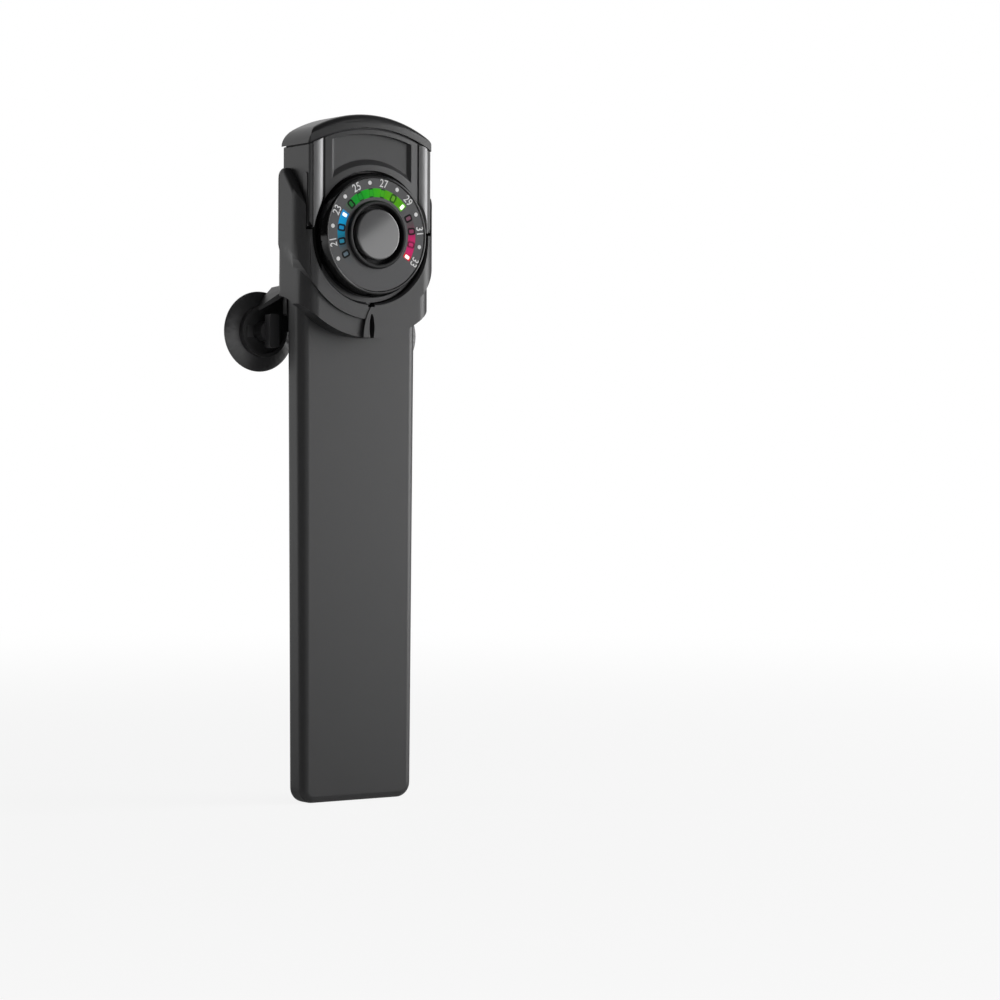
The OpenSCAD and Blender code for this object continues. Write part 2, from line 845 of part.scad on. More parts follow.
// Outline of the board: round below behind the dial, straight above it
module board_outline(grow) {
    board_r = window_hole_r + board_side + grow;
    intersection() {
        round_rect(-board_w / 2 - grow, board_w / 2 + grow,
            dial_z - board_below - grow, board_z1 + grow, board_corner_r);
        union() {
            translate([0, dial_z]) circle(board_r);
            translate([-board_w, dial_z - board_neck - grow]) square([2 * board_w, tall]);
        }
    }
}

module circuit_board() {
    color([0.05, 0.3, 0.15])
        difference() {
            from_front(board_back, board_front) board_outline(0);
            both_sides()
                for (z = screw_zs)
                    round_y(screw_r + 0.1, -over, board_front + over, screw_x, z);
        }
}

module board_screws() {
    color("silver")
        both_sides()
            for (z = screw_zs) {
                round_y(screw_r - 0.05, board_back - screw_l + 0.5, board_front + weld, screw_x, z);
                round_y(screw_head_r, board_front, board_front + screw_head_h, screw_x, z);
            }
}

module led_chips() {
    color("ivory")
        at_windows(0, window_count)
            from_front(board_front, board_front + led_t)
                square([1.2, 2], center = true);
}

module control_chip() {
    color([0.08, 0.08, 0.08])
        from_front(board_back - chip_t, board_back)
            translate([chip_x, dial_z + chip_rise]) square(chip_w);
}

module triac() {
    color([0.1, 0.1, 0.1])
        from_front(board_back - triac_t, board_back)
            translate([triac_x, dial_z + triac_rise]) square([triac_w, triac_l]);
}

module capacitor() {
    color([0.55, 0.45, 0.1])
        from_front(board_back - capacitor_t, board_back)
            round_rect(capacitor_x, capacitor_x + capacitor_w,
                dial_z + capacitor_rise, dial_z + capacitor_rise + capacitor_l, 0.8);
}

module temperature_sensor() {
    color("black")
        translate([-sensor_x, sleeve_t - head_wall - sensor_r - fit_gap, dial_z - 3])
            union() {
                cylinder(r = sensor_r, h = sensor_l);
                sphere(r = sensor_r);
            }
}

module cable_gland() {
    color("black")
        turned_y(0, gland_z)
            polygon([
                [gland_bore_r, -sleeve_t - 3], [gland_r - 0.6, -sleeve_t - 3],
                [gland_r + 0.6, -sleeve_t - 1.2], [gland_r + 0.6, -sleeve_t],
                [gland_r, -sleeve_t], [gland_r, -sleeve_t + head_wall],
                [gland_r + 0.6, -sleeve_t + head_wall], [gland_r + 0.6, -sleeve_t + head_wall + 1],
                [gland_bore_r, -sleeve_t + head_wall + 1]
            ]);
}

// ---- heating stack ----

module sheet(y0, t, extra) {
    box([-core_w / 2 - extra, y0, core_z0 - extra], [core_w / 2 + extra, y0 + t, core_z0 + core_h + extra]);
}

module mica_card() {
    color([0.7, 0.65, 0.5]) sheet(core_mid - core_t / 2, core_t, 0);
}

module heating_wire() {
    rows = floor((core_h - 8) / wire_pitch);
    wire_w = 1.2;
    run = core_w - 3;
    y0 = core_mid - core_t / 2 - wire_t;
    color([0.75, 0.7, 0.65])
        union() {
            for (i = [0 : rows - 1])
                box([-run / 2, y0, core_z0 + 4 + i * wire_pitch],
                    [run / 2, y0 + wire_t, core_z0 + 4 + i * wire_pitch + wire_w]);
            for (i = [0 : rows - 2])
                let (end = i % 2 == 0 ? run / 2 - wire_w : -run / 2)
                    box([end, y0, core_z0 + 4 + i * wire_pitch],
                        [end + wire_w, y0 + wire_t, core_z0 + 4 + (i + 1) * wire_pitch + wire_w]);
        }
}

module front_insulator() {
    color([0.8, 0.78, 0.7]) sheet(core_mid - core_t / 2 - wire_t - sheet_t, sheet_t, 0.5);
}

module back_insulator() {
    color([0.8, 0.78, 0.7]) sheet(core_mid + core_t / 2, sheet_t, 0.5);
}

module front_heat_plate() {
    color("silver") sheet(core_mid - core_t / 2 - wire_t - sheet_t - plate_t, plate_t, 1);
}

module back_heat_plate() {
    color("silver") sheet(core_mid + core_t / 2 + sheet_t, plate_t, 1);
}

module lead_wires() {
    bend_z = head_z0 + 9;
    color([0.7, 0.1, 0.1])
        both_sides()
            union() {
                translate([lead_x, core_mid, core_z0 + core_h])
                    cylinder(r = lead_r, h = bend_z - core_z0 - core_h);
                translate([lead_x, core_mid, bend_z]) sphere(r = lead_r);
                round_y(lead_r, -core_mid, board_back, lead_x, bend_z);
            }
}

module thermal_fuse() {
    fuse_z = core_z0 + core_h + 4;
    color("silver")
        union() {
            translate([-4, core_mid, fuse_z]) rotate([0, 90, 0]) cylinder(r = 1.3, h = 8);
            translate([-lead_x + lead_r + fit_gap, core_mid, fuse_z])
                rotate([0, 90, 0])
                    cylinder(r = 0.4, h = 2 * (lead_x - lead_r - fit_gap));
        }
}

// ---- holder ----

// Space that the heater needs, from the sleeve's foot to above the head
module heater_space() {
    // sleeve, and the back of the head above it
    box([-sleeve_w_top / 2 - slide_clear, -slide_clear, -over],
        [sleeve_w_top / 2 + slide_clear, sleeve_t + slide_clear, 2 * dial_z]);
    box([-head_half - slide_clear, -slide_clear, head_z0 - slide_clear],
        [head_half + slide_clear, sleeve_t + slide_clear, 2 * dial_z]);
    // front of the head, with its corners and bars
    intersection() {
        from_front(0, reach)
            round_rect(-head_half - slide_clear, head_half + slide_clear,
                chin_z - slide_clear, 2 * dial_z, chin_corner_r);
        translate([0, 0, chin_z - over])
            linear_extrude(2 * tall) {
                head_plan(slide_clear);
                both_sides() translate([pillar_x, pillar_y]) circle(pillar_r + slide_clear);
            }
    }
    // dial, and its way up
    from_front(0, reach) {
        translate([0, dial_z]) circle(cradle_r, $fn = 180);
        translate([-cradle_r, dial_z]) square([2 * cradle_r, tall]);
    }
    // the head's guide ribs
    both_sides()
        box([0, -head_fwd, chin_z], [head_half + rib_out + slide_clear, -over, 2 * dial_z]);
}

// Plan of the lower band
module band_plan() {
    plan(band_half_w, band_fwd, band_back, band_corner_r, 3.3);
}

// Side outline of the wings and the upper band, in Y and Z: a round tip, a leaning front edge
// that bends smoothly into a wide arc, and the upright front of the band
module wing_side() {
    translate([wing_tip_y, tip_mid_z]) circle(wing_tip_r);
    polygon([
        [wing_d, bend_z], [wing_d, tip_mid_z], [wing_tip_y, tip_mid_z],
        [lean_y, lean_z], [bend_y, bend_z]
    ]);
    intersection() {
        translate([edge_y, edge_z]) circle(edge_r, $fn = 180);
        translate([-wing_fwd, edge_z]) square([wing_fwd + wing_d, bend_z - edge_z]);
    }
    translate([-wing_fwd, hold_z0]) square([wing_fwd + wing_d, edge_z - hold_z0]);
}

// Front outline of the wings and the upper band
module wing_front() {
    translate([0, dial_z]) circle(step_r, $fn = 180);
    translate([-wing_half, edge_z]) square([2 * wing_half, tall]);
}

module holder_shell() {
    // lower band and back bridge
    difference() {
        intersection() {
            translate([0, 0, hold_z0]) linear_extrude(dial_z - hold_z0) band_plan();
            round_y(band_r, -band_back - over, band_fwd + over, 0, dial_z + band_rise);
            union() {
                box([-reach, -reach, hold_z0], [reach, wing_back, dial_z]);
                box([-reach, wing_back - over, bridge_z0], [reach, reach, bridge_z1]);
            }
        }
        // the side walls' lower edge rises towards the back
        both_sides()
            translate([sleeve_w_top / 2 - over, foot_back, foot_z])
                rotate([0, 90, 0])
                    cylinder(r = foot_r, h = reach);
    }
    // upper band with its wings
    difference() {
        intersection() {
            translate([0, 0, hold_z0])
                linear_extrude(2 * tall)
                    plan(wing_half, wing_fwd, wing_d, wing_corner_r, 1);
            from_side(-reach, reach) wing_side();
            from_front(-reach, reach) wing_front();
        }
        // the step's side edge sweeps up towards the back
        both_sides()
            translate([band_half_w, sweep_back, sweep_z])
                rotate([0, 90, 0])
                    cylinder(r1 = sweep_r0, r2 = 2 * sweep_r1 - sweep_r0, h = 2 * wing_out);
    }
}

// Front outline of the latch fin: a pointed arch
module fin_outline() {
    arch_r = fin_h * fin_h / fin_w + fin_w / 4;
    foot_z = dial_z + band_rise - band_r;
    intersection() {
        translate([arch_r - fin_w / 2, foot_z]) circle(arch_r, $fn = 180);
        translate([fin_w / 2 - arch_r, foot_z]) circle(arch_r, $fn = 180);
        translate([-fin_w, foot_z]) square([2 * fin_w, fin_h + over]);
    }
}

// Slot down the middle of the fin, wider half way
module fin_slot() {
    slot_z0 = dial_z + band_rise - band_r;
    slot_r = 12;
    intersection() {
        translate([slot_r - 0.9, slot_z0 + 3]) circle(slot_r, $fn = 180);
        translate([0.9 - slot_r, slot_z0 + 3]) circle(slot_r, $fn = 180);
        translate([-3, slot_z0 - over]) square([6, 7 + over]);
    }
}

// The socket that carries one cup, open towards the front and joined to the bridge
module socket_outline(inset) {
    r = socket_r - inset;
    translate([cup_x, cup_z]) circle(r);
    // flare that rises to the bridge on the inner side
    polygon([
        [cup_x - r, cup_z], [cup_x - r, arm_top_z + 2 - inset],
        [cup_x - 3.4 - 0.4 * inset, arm_top_z + 1 - inset],
        [cup_x - 0.6 - 0.6 * inset, arm_top_z - 2 - inset],
        [cup_x + 2, cup_z + sqrt(r * r - 4)], [cup_x, cup_z]
    ]);
}

module socket() {
    difference() {
        from_front(socket_back, arm_fwd) socket_outline(0);
        from_front(socket_back + floor_t, arm_fwd + over) socket_outline(socket_wall);
        // the wall falls away from the bridge to the dish's rim
        translate([0, 0, hold_z0])
            linear_extrude(2 * tall)
                polygon([
                    [cup_x + reach, -dish_fwd], [cup_x + 2.4, -dish_fwd],
                    [cup_x - 2, -arm_fwd - 0.3], [cup_x - 2, -arm_fwd - reach],
                    [cup_x + reach, -arm_fwd - reach]
                ]);
        translate([0, 0, hold_z0])
            linear_extrude(cup_z - hold_z0)
                polygon([
                    [cup_x + reach, -dish_fwd], [cup_x - reach, -dish_fwd],
                    [cup_x - reach, -arm_fwd - reach], [cup_x + reach, -arm_fwd - reach]
                ]);
        // round hole of the cup's neck, and the slot its hammer head goes in by
        round_y(cup_neck_r + neck_clear, socket_back - over, socket_back + floor_t + over, cup_x, cup_z);
        from_front(socket_back - over, socket_back + floor_t + over)
            translate([cup_x, cup_z])
                square([hammer_h + 0.6, hammer_w + 0.4], center = true);
    }
}

module holder() {
    color([0.33, 0.33, 0.34])
        difference() {
            union() {
                holder_shell();
                from_front(band_fwd - over, band_fwd + fin_proud) fin_outline();
                both_sides() socket();
            }
            heater_space();
            // the lip opens outwards round the dial
            cone_y(cradle_r, 2 * lip_r - cradle_r, wing_fwd - lip_d, wing_fwd + lip_d, 0, dial_z);
            from_front(band_fwd - 1.2, reach) fin_slot();
            // notch for the housing's key
            box([-key_w / 2 - slide_clear, -reach, dial_z - cradle_r - key_out - slide_clear],
                [key_w / 2 + slide_clear, -0.5, dial_z - cradle_r + over]);
        }
}

// ---- suction cups ----
module suction_cup(x) {
    glass_fwd = -sleeve_t - glass_gap;
    seat_fwd = socket_back - 0.05;
    neck_fwd = -sleeve_t - glass_gap + 6.4;
    color([0.1, 0.1, 0.1])
        union() {
            turned_y(x, cup_z)
                polygon([
                    [0, glass_fwd + 0.6], [0, seat_fwd], [socket_r - 0.4, seat_fwd],
                    [cup_r - 0.2, glass_fwd + 0.35], [cup_r, glass_fwd + 0.2], [cup_r, glass_fwd],
                    [cup_r - 0.9, glass_fwd], [socket_r - 0.6, glass_fwd + 0.75]
                ]);
            round_y(cup_neck_r, seat_fwd - 0.2, neck_fwd, x, cup_z);
            from_front(neck_fwd - weld, neck_fwd + hammer_d)
                translate([x, cup_z])
                    round_rect(-hammer_w / 2, hammer_w / 2, -hammer_h / 2, hammer_h / 2, 0.8);
        }
}

module left_suction_cup() {
    suction_cup(-cup_x);
}

module right_suction_cup() {
    suction_cup(cup_x);
}

placed() sleeve();
placed() sleeve_seal();
placed() head_shell();
placed() front_cover();
placed() top_cap();
placed() cap_seal();
placed() bezel();
placed() bezel_seal();
placed() dial_face();
placed() blue_windows();
placed() green_windows();
placed() red_windows();
placed() button_collar();
placed() button_seal();
placed() button();
placed() switch_plunger();
placed() switch_housing();
placed() circuit_board();
placed() board_screws();
placed() led_chips();
placed() control_chip();
placed() triac();
placed() capacitor();
placed() temperature_sensor();
placed() thermal_fuse();
placed() lead_wires();
placed() mica_card();
placed() heating_wire();
placed() front_insulator();
placed() back_insulator();
placed() front_heat_plate();
placed() back_heat_plate();
placed() cable_gland();
placed() holder();
placed() left_suction_cup();
placed() right_suction_cup();
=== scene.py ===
import math

import bpy
from mathutils import Matrix, Vector


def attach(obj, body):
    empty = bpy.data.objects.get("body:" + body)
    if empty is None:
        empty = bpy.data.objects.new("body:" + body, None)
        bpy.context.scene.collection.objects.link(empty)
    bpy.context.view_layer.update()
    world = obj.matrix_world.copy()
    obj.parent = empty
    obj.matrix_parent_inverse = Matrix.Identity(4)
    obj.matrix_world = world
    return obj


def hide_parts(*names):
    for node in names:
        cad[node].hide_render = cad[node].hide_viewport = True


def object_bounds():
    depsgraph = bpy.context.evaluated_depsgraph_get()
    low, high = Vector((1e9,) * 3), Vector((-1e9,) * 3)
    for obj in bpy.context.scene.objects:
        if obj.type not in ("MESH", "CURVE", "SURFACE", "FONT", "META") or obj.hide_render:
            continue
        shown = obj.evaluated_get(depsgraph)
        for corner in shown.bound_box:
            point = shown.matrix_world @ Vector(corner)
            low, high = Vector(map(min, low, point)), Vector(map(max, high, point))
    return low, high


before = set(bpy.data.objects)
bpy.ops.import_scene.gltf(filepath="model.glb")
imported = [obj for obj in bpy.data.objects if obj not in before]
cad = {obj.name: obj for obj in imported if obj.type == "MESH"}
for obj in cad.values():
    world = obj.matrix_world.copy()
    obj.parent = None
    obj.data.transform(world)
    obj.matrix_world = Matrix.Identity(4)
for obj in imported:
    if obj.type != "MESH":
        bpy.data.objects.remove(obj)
solid_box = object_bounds()
scene = bpy.context.scene


# ---- Camera -------------------------------------------------------------------------------
# A long lens a little under a metre away, low and to the heater's left, at the height of its
# middle, almost level.
lens_mm = 106.2
camera_place = Vector((-0.4711, -0.7577, -0.0382))
heading, pitch, roll = (math.radians(a) for a in (35.34, 0.757, 0.2))

camera_data = bpy.data.cameras.new("camera")
camera_data.lens = lens_mm
camera_data.sensor_width = 36
camera_data.clip_start = 0.01
camera = bpy.data.objects.new("camera", camera_data)
scene.collection.objects.link(camera)
camera.matrix_world = (
    Matrix.Translation(camera_place)
    @ Matrix.Rotation(-heading, 4, "Z")
    @ Matrix.Rotation(math.pi / 2 - pitch, 4, "X")
    @ Matrix.Rotation(roll, 4, "Z")
)
scene.camera = camera
scene.view_settings.view_transform = "Standard"


# ---- Studio -------------------------------------------------------------------------------
# A white sweep behind the heater and a darker room in front of it. A key softbox stands on the
# right, a strip behind on the left, a box overhead and a narrow one in front. The slanting edge
# of a card shows in the button.
def add_node(tree, kind, **settings):
    node = tree.nodes.new(kind)
    for name, value in settings.items():
        setattr(node, name, value)
    return node


def feed(tree, socket, value):
    """Gives an input a link where the value is a socket, and a constant where it isn't."""
    if isinstance(value, bpy.types.NodeSocket):
        tree.links.new(value, socket)
    else:
        socket.default_value = value


def math_node(tree, operation, *values, clamp=False):
    node = add_node(tree, "ShaderNodeMath", operation=operation, use_clamp=clamp)
    for slot_number, value in enumerate(values):
        feed(tree, node.inputs[slot_number], value)
    return node.outputs[0]


def map_range(tree, value, low, high, to_low=0.0, to_high=1.0, smooth=False):
    node = add_node(
        tree, "ShaderNodeMapRange",
        interpolation_type="SMOOTHSTEP" if smooth else "LINEAR",
    )
    tree.links.new(value, node.inputs["Value"])
    for name, number in (
        ("From Min", low), ("From Max", high), ("To Min", to_low), ("To Max", to_high)
    ):
        node.inputs[name].default_value = number
    return node.outputs["Result"]


def mix_shaders(tree, share, first, second):
    node = add_node(tree, "ShaderNodeMixShader")
    for slot_number, socket in enumerate((share, first, second)):
        tree.links.new(socket, node.inputs[slot_number])
    return node.outputs[0]


room_level, full_level = 0.09, 1.0
sweep_dark, sweep_from, sweep_to = 0.03, 0.35, 0.98

world = bpy.data.worlds.new("studio")
scene.world = world
world.use_nodes = True
studio = world.node_tree
studio.nodes.clear()


def backdrop(strength):
    """A white background with one strength, or with a strength that changes."""
    shader = add_node(studio, "ShaderNodeBackground")
    shader.inputs["Color"].default_value = (1, 1, 1, 1)
    feed(studio, shader.inputs["Strength"], strength)
    return shader.outputs[0]


ray_direction = add_node(studio, "ShaderNodeTexCoord")
split = add_node(studio, "ShaderNodeSeparateXYZ")
studio.links.new(ray_direction.outputs["Generated"], split.inputs[0])
sweep_level = map_range(
    studio, split.outputs["Y"], sweep_from, sweep_to, sweep_dark, full_level, smooth=True
)
ray = add_node(studio, "ShaderNodeLightPath")
lit = mix_shaders(
    studio, ray.outputs["Is Glossy Ray"], backdrop(room_level), backdrop(sweep_level)
)
seen = math_node(
    studio, "MAXIMUM", ray.outputs["Is Camera Ray"], ray.outputs["Is Transmission Ray"]
)
world_out = add_node(studio, "ShaderNodeOutputWorld")
studio.links.new(
    mix_shaders(studio, seen, lit, backdrop(full_level)), world_out.inputs["Surface"]
)

# The floor glows white, apart from a share of lit paint that holds the shadow. The share falls
# off with distance, and it is larger for rays that come from a shiny surface.
floor_z, floor_r, floor_grey = solid_box[0][2] - 0.00002, 6, 0.82
near_from, near_to, near_most = 0.15, 0.9, 0.12
mirror_from, mirror_to, mirror_most = 0.2, 1.0, 0.85
bpy.ops.object.select_all(action="DESELECT")
bpy.ops.mesh.primitive_circle_add(
    vertices=96, radius=floor_r, fill_type="NGON", location=(0, 0, 0)
)
floor = bpy.context.object
floor.name = "floor"
floor.data.transform(Matrix.Translation((0, 0, floor_z)))
floor_paint = bpy.data.materials.new("floor_paint")
floor_paint.use_nodes = True
paint = floor_paint.node_tree
paint.nodes.clear()
place = add_node(paint, "ShaderNodeTexCoord")
far = add_node(paint, "ShaderNodeVectorMath", operation="LENGTH")
paint.links.new(place.outputs["Object"], far.inputs[0])
ray = add_node(paint, "ShaderNodeLightPath")
floor_seen = math_node(
    paint, "MAXIMUM",
    math_node(
        paint, "MAXIMUM", ray.outputs["Is Camera Ray"], ray.outputs["Is Glossy Ray"]
    ),
    ray.outputs["Is Transmission Ray"],
)
near_share = map_range(
    paint, far.outputs["Value"], near_from, near_to, near_most, 0.0, smooth=True
)
mirror_share = math_node(
    paint, "MULTIPLY", ray.outputs["Is Glossy Ray"],
    map_range(
        paint, far.outputs["Value"], mirror_from, mirror_to, mirror_most, 0.0, smooth=True
    ),
)
paint_share = math_node(
    paint, "MULTIPLY", floor_seen,
    math_node(paint, "MAXIMUM", near_share, mirror_share),
)
matt = add_node(paint, "ShaderNodeBsdfDiffuse")
matt.inputs["Color"].default_value = (floor_grey, floor_grey, floor_grey, 1)
glow = add_node(paint, "ShaderNodeEmission")
glow.inputs["Color"].default_value = (1, 1, 1, 1)
floor_out = add_node(paint, "ShaderNodeOutputMaterial")
paint.links.new(
    mix_shaders(
        paint, math_node(paint, "SUBTRACT", floor_seen, paint_share), matt.outputs[0],
        glow.outputs[0],
    ),
    floor_out.inputs["Surface"],
)
floor.data.materials.append(floor_paint)


def softbox(name, target, direction, distance, width, height, level, edge=None):
    """An area light that faces target from direction and gives it that level of light."""
    lamp = bpy.data.lights.new(name, "AREA")
    lamp.shape = "RECTANGLE"
    lamp.size, lamp.size_y = width, height
    lamp.energy = level * math.pi**2 * distance**2
    stand = bpy.data.objects.new(name, lamp)
    scene.collection.objects.link(stand)
    back = Vector(direction).normalized()
    side = edge or Vector((0, 0, 1)).cross(back).normalized()
    up = back.cross(side)
    turn = Matrix((side, up, back)).transposed().to_4x4()
    stand.matrix_world = Matrix.Translation(Vector(target) + back * distance) @ turn
    stand.visible_camera = False


middle, lamp_distance = (0, -0.017, -0.04), 0.9
for name, direction, width, height, level in (
    ("key_softbox", (0.86, -0.46, 0.22), 0.5, 0.7, 0.8),
    ("left_strip", (-0.72, 0.62, 0.3), 0.25, 0.8, 0.08),
    ("overhead_softbox", (0.1, -0.55, 0.85), 0.6, 0.12, 0.06),
    ("front_strip", (-0.12, -0.99, 0.1), 0.16, 0.5, 0.03),
):
    softbox(name, middle, direction, lamp_distance, width, height, level)

button_centre = Vector((0, -0.0316, 0.028))
card_distance, card_size, card_level = 1.2, 0.7, 0.22
edge_angle, edge_offset, edge_reach = math.radians(34), 0.0021, 0.005
straight = (button_centre - camera_place).normalized()
card_axis = Vector((straight.x, -straight.y, straight.z))


def mirrored(point):
    """Where the camera's ray that bounces off the flat button at point meets the card."""
    ray_in = (point - camera_place).normalized()
    ray_out = Vector((ray_in.x, -ray_in.y, ray_in.z))
    reach = card_distance / ray_out.dot(card_axis)
    return point + ray_out * reach


edge_run = Vector((math.cos(edge_angle), 0, math.sin(edge_angle)))
edge_side = Vector((math.sin(edge_angle), 0, -math.cos(edge_angle)))
edge_point = button_centre - edge_side * edge_offset
edge_a = mirrored(edge_point)
edge_line = mirrored(edge_point + edge_run * edge_reach) - edge_a
edge_line = (edge_line - card_axis * edge_line.dot(card_axis)).normalized()
card_inward = card_axis.cross(edge_line)
if card_inward.dot(edge_side) < 0:
    card_inward = -card_inward
card_middle = edge_a + card_inward * (card_size / 2)
softbox(
    "front_card", card_middle - card_axis * card_distance, card_axis, card_distance,
    card_size, card_size, card_level, edge=edge_line,
)


# ---- Element and its carrier --------------------------------------------------------------
# A sheet of mica carries a flat resistance ribbon laid to and fro on it. The ribbon is an iron
# alloy, oxidised where it has run hot.
def srgb(red, green, blue):
    """A colour read in 0 to 255 steps, as the linear colour that a shader takes."""
    parts = [v / 255 for v in (red, green, blue)]
    return tuple(
        v / 12.92 if v <= 0.04045 else ((v + 0.055) / 1.055) ** 2.4 for v in parts
    ) + (1.0,)


def mixed(tree, share, first, second, kind="RGBA", **settings):
    """The mix of two colours or two values, each a socket or a constant."""
    node = add_node(tree, "ShaderNodeMix", data_type=kind, **settings)
    slots = {"FLOAT": (0, 2, 3), "RGBA": (0, 6, 7)}[kind]
    for slot_number, value in zip(slots, (share, first, second)):
        feed(tree, node.inputs[slot_number], value)
    return node.outputs["Result"]


# Moulded grain: a fine eroded texture, with broad slow changes of tone and gloss over it
grain_group = bpy.data.node_groups.new("moulded_grain", "ShaderNodeTree")
for name, way, kind in (
    ("Size", "INPUT", "NodeSocketFloat"), ("Colour", "INPUT", "NodeSocketColor"),
    ("Spread", "INPUT", "NodeSocketFloat"), ("Roughness", "INPUT", "NodeSocketFloat"),
    ("Gloss Change", "INPUT", "NodeSocketFloat"),
    ("Colour", "OUTPUT", "NodeSocketColor"), ("Roughness", "OUTPUT", "NodeSocketFloat"),
    ("Height", "OUTPUT", "NodeSocketFloat"),
):
    grain_group.interface.new_socket(name=name, in_out=way, socket_type=kind)
broad_scale = 45
group_in = add_node(grain_group, "NodeGroupInput")
group_out = add_node(grain_group, "NodeGroupOutput")
where = add_node(grain_group, "ShaderNodeTexCoord")
pits = add_node(grain_group, "ShaderNodeTexNoise")
pits.inputs["Detail"].default_value = 3
grain_group.links.new(where.outputs["Object"], pits.inputs["Vector"])
grain_group.links.new(
    math_node(grain_group, "DIVIDE", 1.0, group_in.outputs["Size"]), pits.inputs["Scale"]
)
broad = add_node(grain_group, "ShaderNodeTexNoise")
broad.inputs["Scale"].default_value = broad_scale
broad.inputs["Detail"].default_value = 2
grain_group.links.new(where.outputs["Object"], broad.inputs["Vector"])
pits_sway, broad_sway = (
    math_node(grain_group, "SUBTRACT", noise.outputs["Fac"], 0.5) for noise in (pits, broad)
)
tone = math_node(
    grain_group, "MULTIPLY_ADD",
    math_node(grain_group, "ADD", pits_sway, broad_sway), group_in.outputs["Spread"], 1.0,
)
toned = add_node(grain_group, "ShaderNodeVectorMath", operation="SCALE")
grain_group.links.new(group_in.outputs["Colour"], toned.inputs[0])
grain_group.links.new(tone, toned.inputs["Scale"])
grain_group.links.new(toned.outputs[0], group_out.inputs["Colour"])
dulled = math_node(
    grain_group, "MULTIPLY_ADD", broad_sway, group_in.outputs["Gloss Change"],
    group_in.outputs["Roughness"], clamp=True,
)
grain_group.links.new(dulled, group_out.inputs["Roughness"])
grain_group.links.new(pits.outputs["Fac"], group_out.inputs["Height"])


def material(name):
    """A new material and its Principled shader."""
    made = bpy.data.materials.new(name)
    made.use_nodes = True
    return made, made.node_tree, made.node_tree.nodes["Principled BSDF"]


def bump(tree, shader, height, depth):
    node = add_node(tree, "ShaderNodeBump")
    node.inputs["Distance"].default_value = depth
    node.inputs["Strength"].default_value = 1.0
    tree.links.new(height, node.inputs["Height"])
    tree.links.new(node.outputs[0], shader.inputs["Normal"])


def grained(name, colour, size=0.0003, spread=0.12, rough=0.45, change=0.06,
            depth=0.000012, ior=1.5):
    """Plain moulded plastic or rubber: the grain group feeds colour, roughness and bump."""
    made, tree, shader = material(name)
    grain = add_node(tree, "ShaderNodeGroup", node_tree=grain_group)
    for entry, value in (
        ("Size", size), ("Colour", colour), ("Spread", spread), ("Roughness", rough),
        ("Gloss Change", change),
    ):
        grain.inputs[entry].default_value = value
    tree.links.new(grain.outputs["Colour"], shader.inputs["Base Color"])
    tree.links.new(grain.outputs["Roughness"], shader.inputs["Roughness"])
    bump(tree, shader, grain.outputs["Height"], depth)
    shader.inputs["IOR"].default_value = ior
    return made, tree, shader, grain


def wear(node, made):
    """Puts a material on a CAD node in place of its plain one."""
    target = cad[node].data.materials
    if len(target):
        target[0] = made
    else:
        target.append(made)


flake_scale, pearl_colour = 260, srgb(214, 202, 172)
flake_middle, flake_rim = 0.2, 0.8
mica, tree, shader, grain = grained(
    "mica", srgb(186, 168, 132), size=0.0012, spread=0.5, rough=0.4, depth=0.00002
)
flakes = add_node(tree, "ShaderNodeTexVoronoi")
flakes.inputs["Scale"].default_value = flake_scale
place = add_node(tree, "ShaderNodeTexCoord")
tree.links.new(place.outputs["Object"], flakes.inputs["Vector"])
pearly = mixed(
    tree, map_range(tree, flakes.outputs["Distance"], flake_middle, flake_rim),
    grain.outputs["Colour"], pearl_colour,
)
tree.links.new(pearly, shader.inputs["Base Color"])
wear("mica_card", mica)


def metal(name, colour, rough, stretch=(1, 1, 1), size=0.0006, depth=0.000006):
    """Bare metal with a drawn or brushed grain along one axis."""
    dark_share, smoother, rougher = 0.72, 0.08, 0.1
    line_low, line_high = 0.2, 0.8
    made, tree, shader = material(name)
    place = add_node(tree, "ShaderNodeTexCoord")
    run = add_node(tree, "ShaderNodeMapping")
    run.inputs["Scale"].default_value = stretch
    tree.links.new(place.outputs["Object"], run.inputs["Vector"])
    lines = add_node(tree, "ShaderNodeTexNoise")
    lines.inputs["Scale"].default_value = 1 / size
    lines.inputs["Detail"].default_value = 3
    tree.links.new(run.outputs[0], lines.inputs["Vector"])
    dark = tuple(c * dark_share for c in colour[:3]) + (1,)
    tree.links.new(
        mixed(tree, lines.outputs["Fac"], dark, colour), shader.inputs["Base Color"]
    )
    tree.links.new(
        map_range(
            tree, lines.outputs["Fac"], line_low, line_high, rough - smoother,
            rough + rougher,
        ),
        shader.inputs["Roughness"],
    )
    shader.inputs["Metallic"].default_value = 1
    bump(tree, shader, lines.outputs["Fac"], depth)
    return made


wear("heating_wire", metal(
    "heating_alloy", srgb(150, 140, 132), 0.42, stretch=(0.1, 1, 1)
))


# ---- Films, spreader plates, fuse and leads -----------------------------------------------
# Two insulating films and two aluminium plates sandwich the element. A thermal fuse sits
# between the two silicone-covered leads.
film = grained("insulator_film", srgb(206, 198, 176), size=0.0009, spread=0.25, rough=0.5)[0]
for node in ("front_insulator", "back_insulator"):
    wear(node, film)
milled = metal("plate_aluminium", srgb(214, 216, 218), 0.34, stretch=(1, 1, 0.05))
for node in ("front_heat_plate", "back_heat_plate"):
    wear(node, milled)
wear("thermal_fuse", metal("fuse_metal", srgb(190, 190, 192), 0.3, stretch=(0.1, 1, 1)))
wear("lead_wires", grained(
    "wire_insulation", srgb(168, 38, 34), size=0.0005, spread=0.18, rough=0.5
)[0])


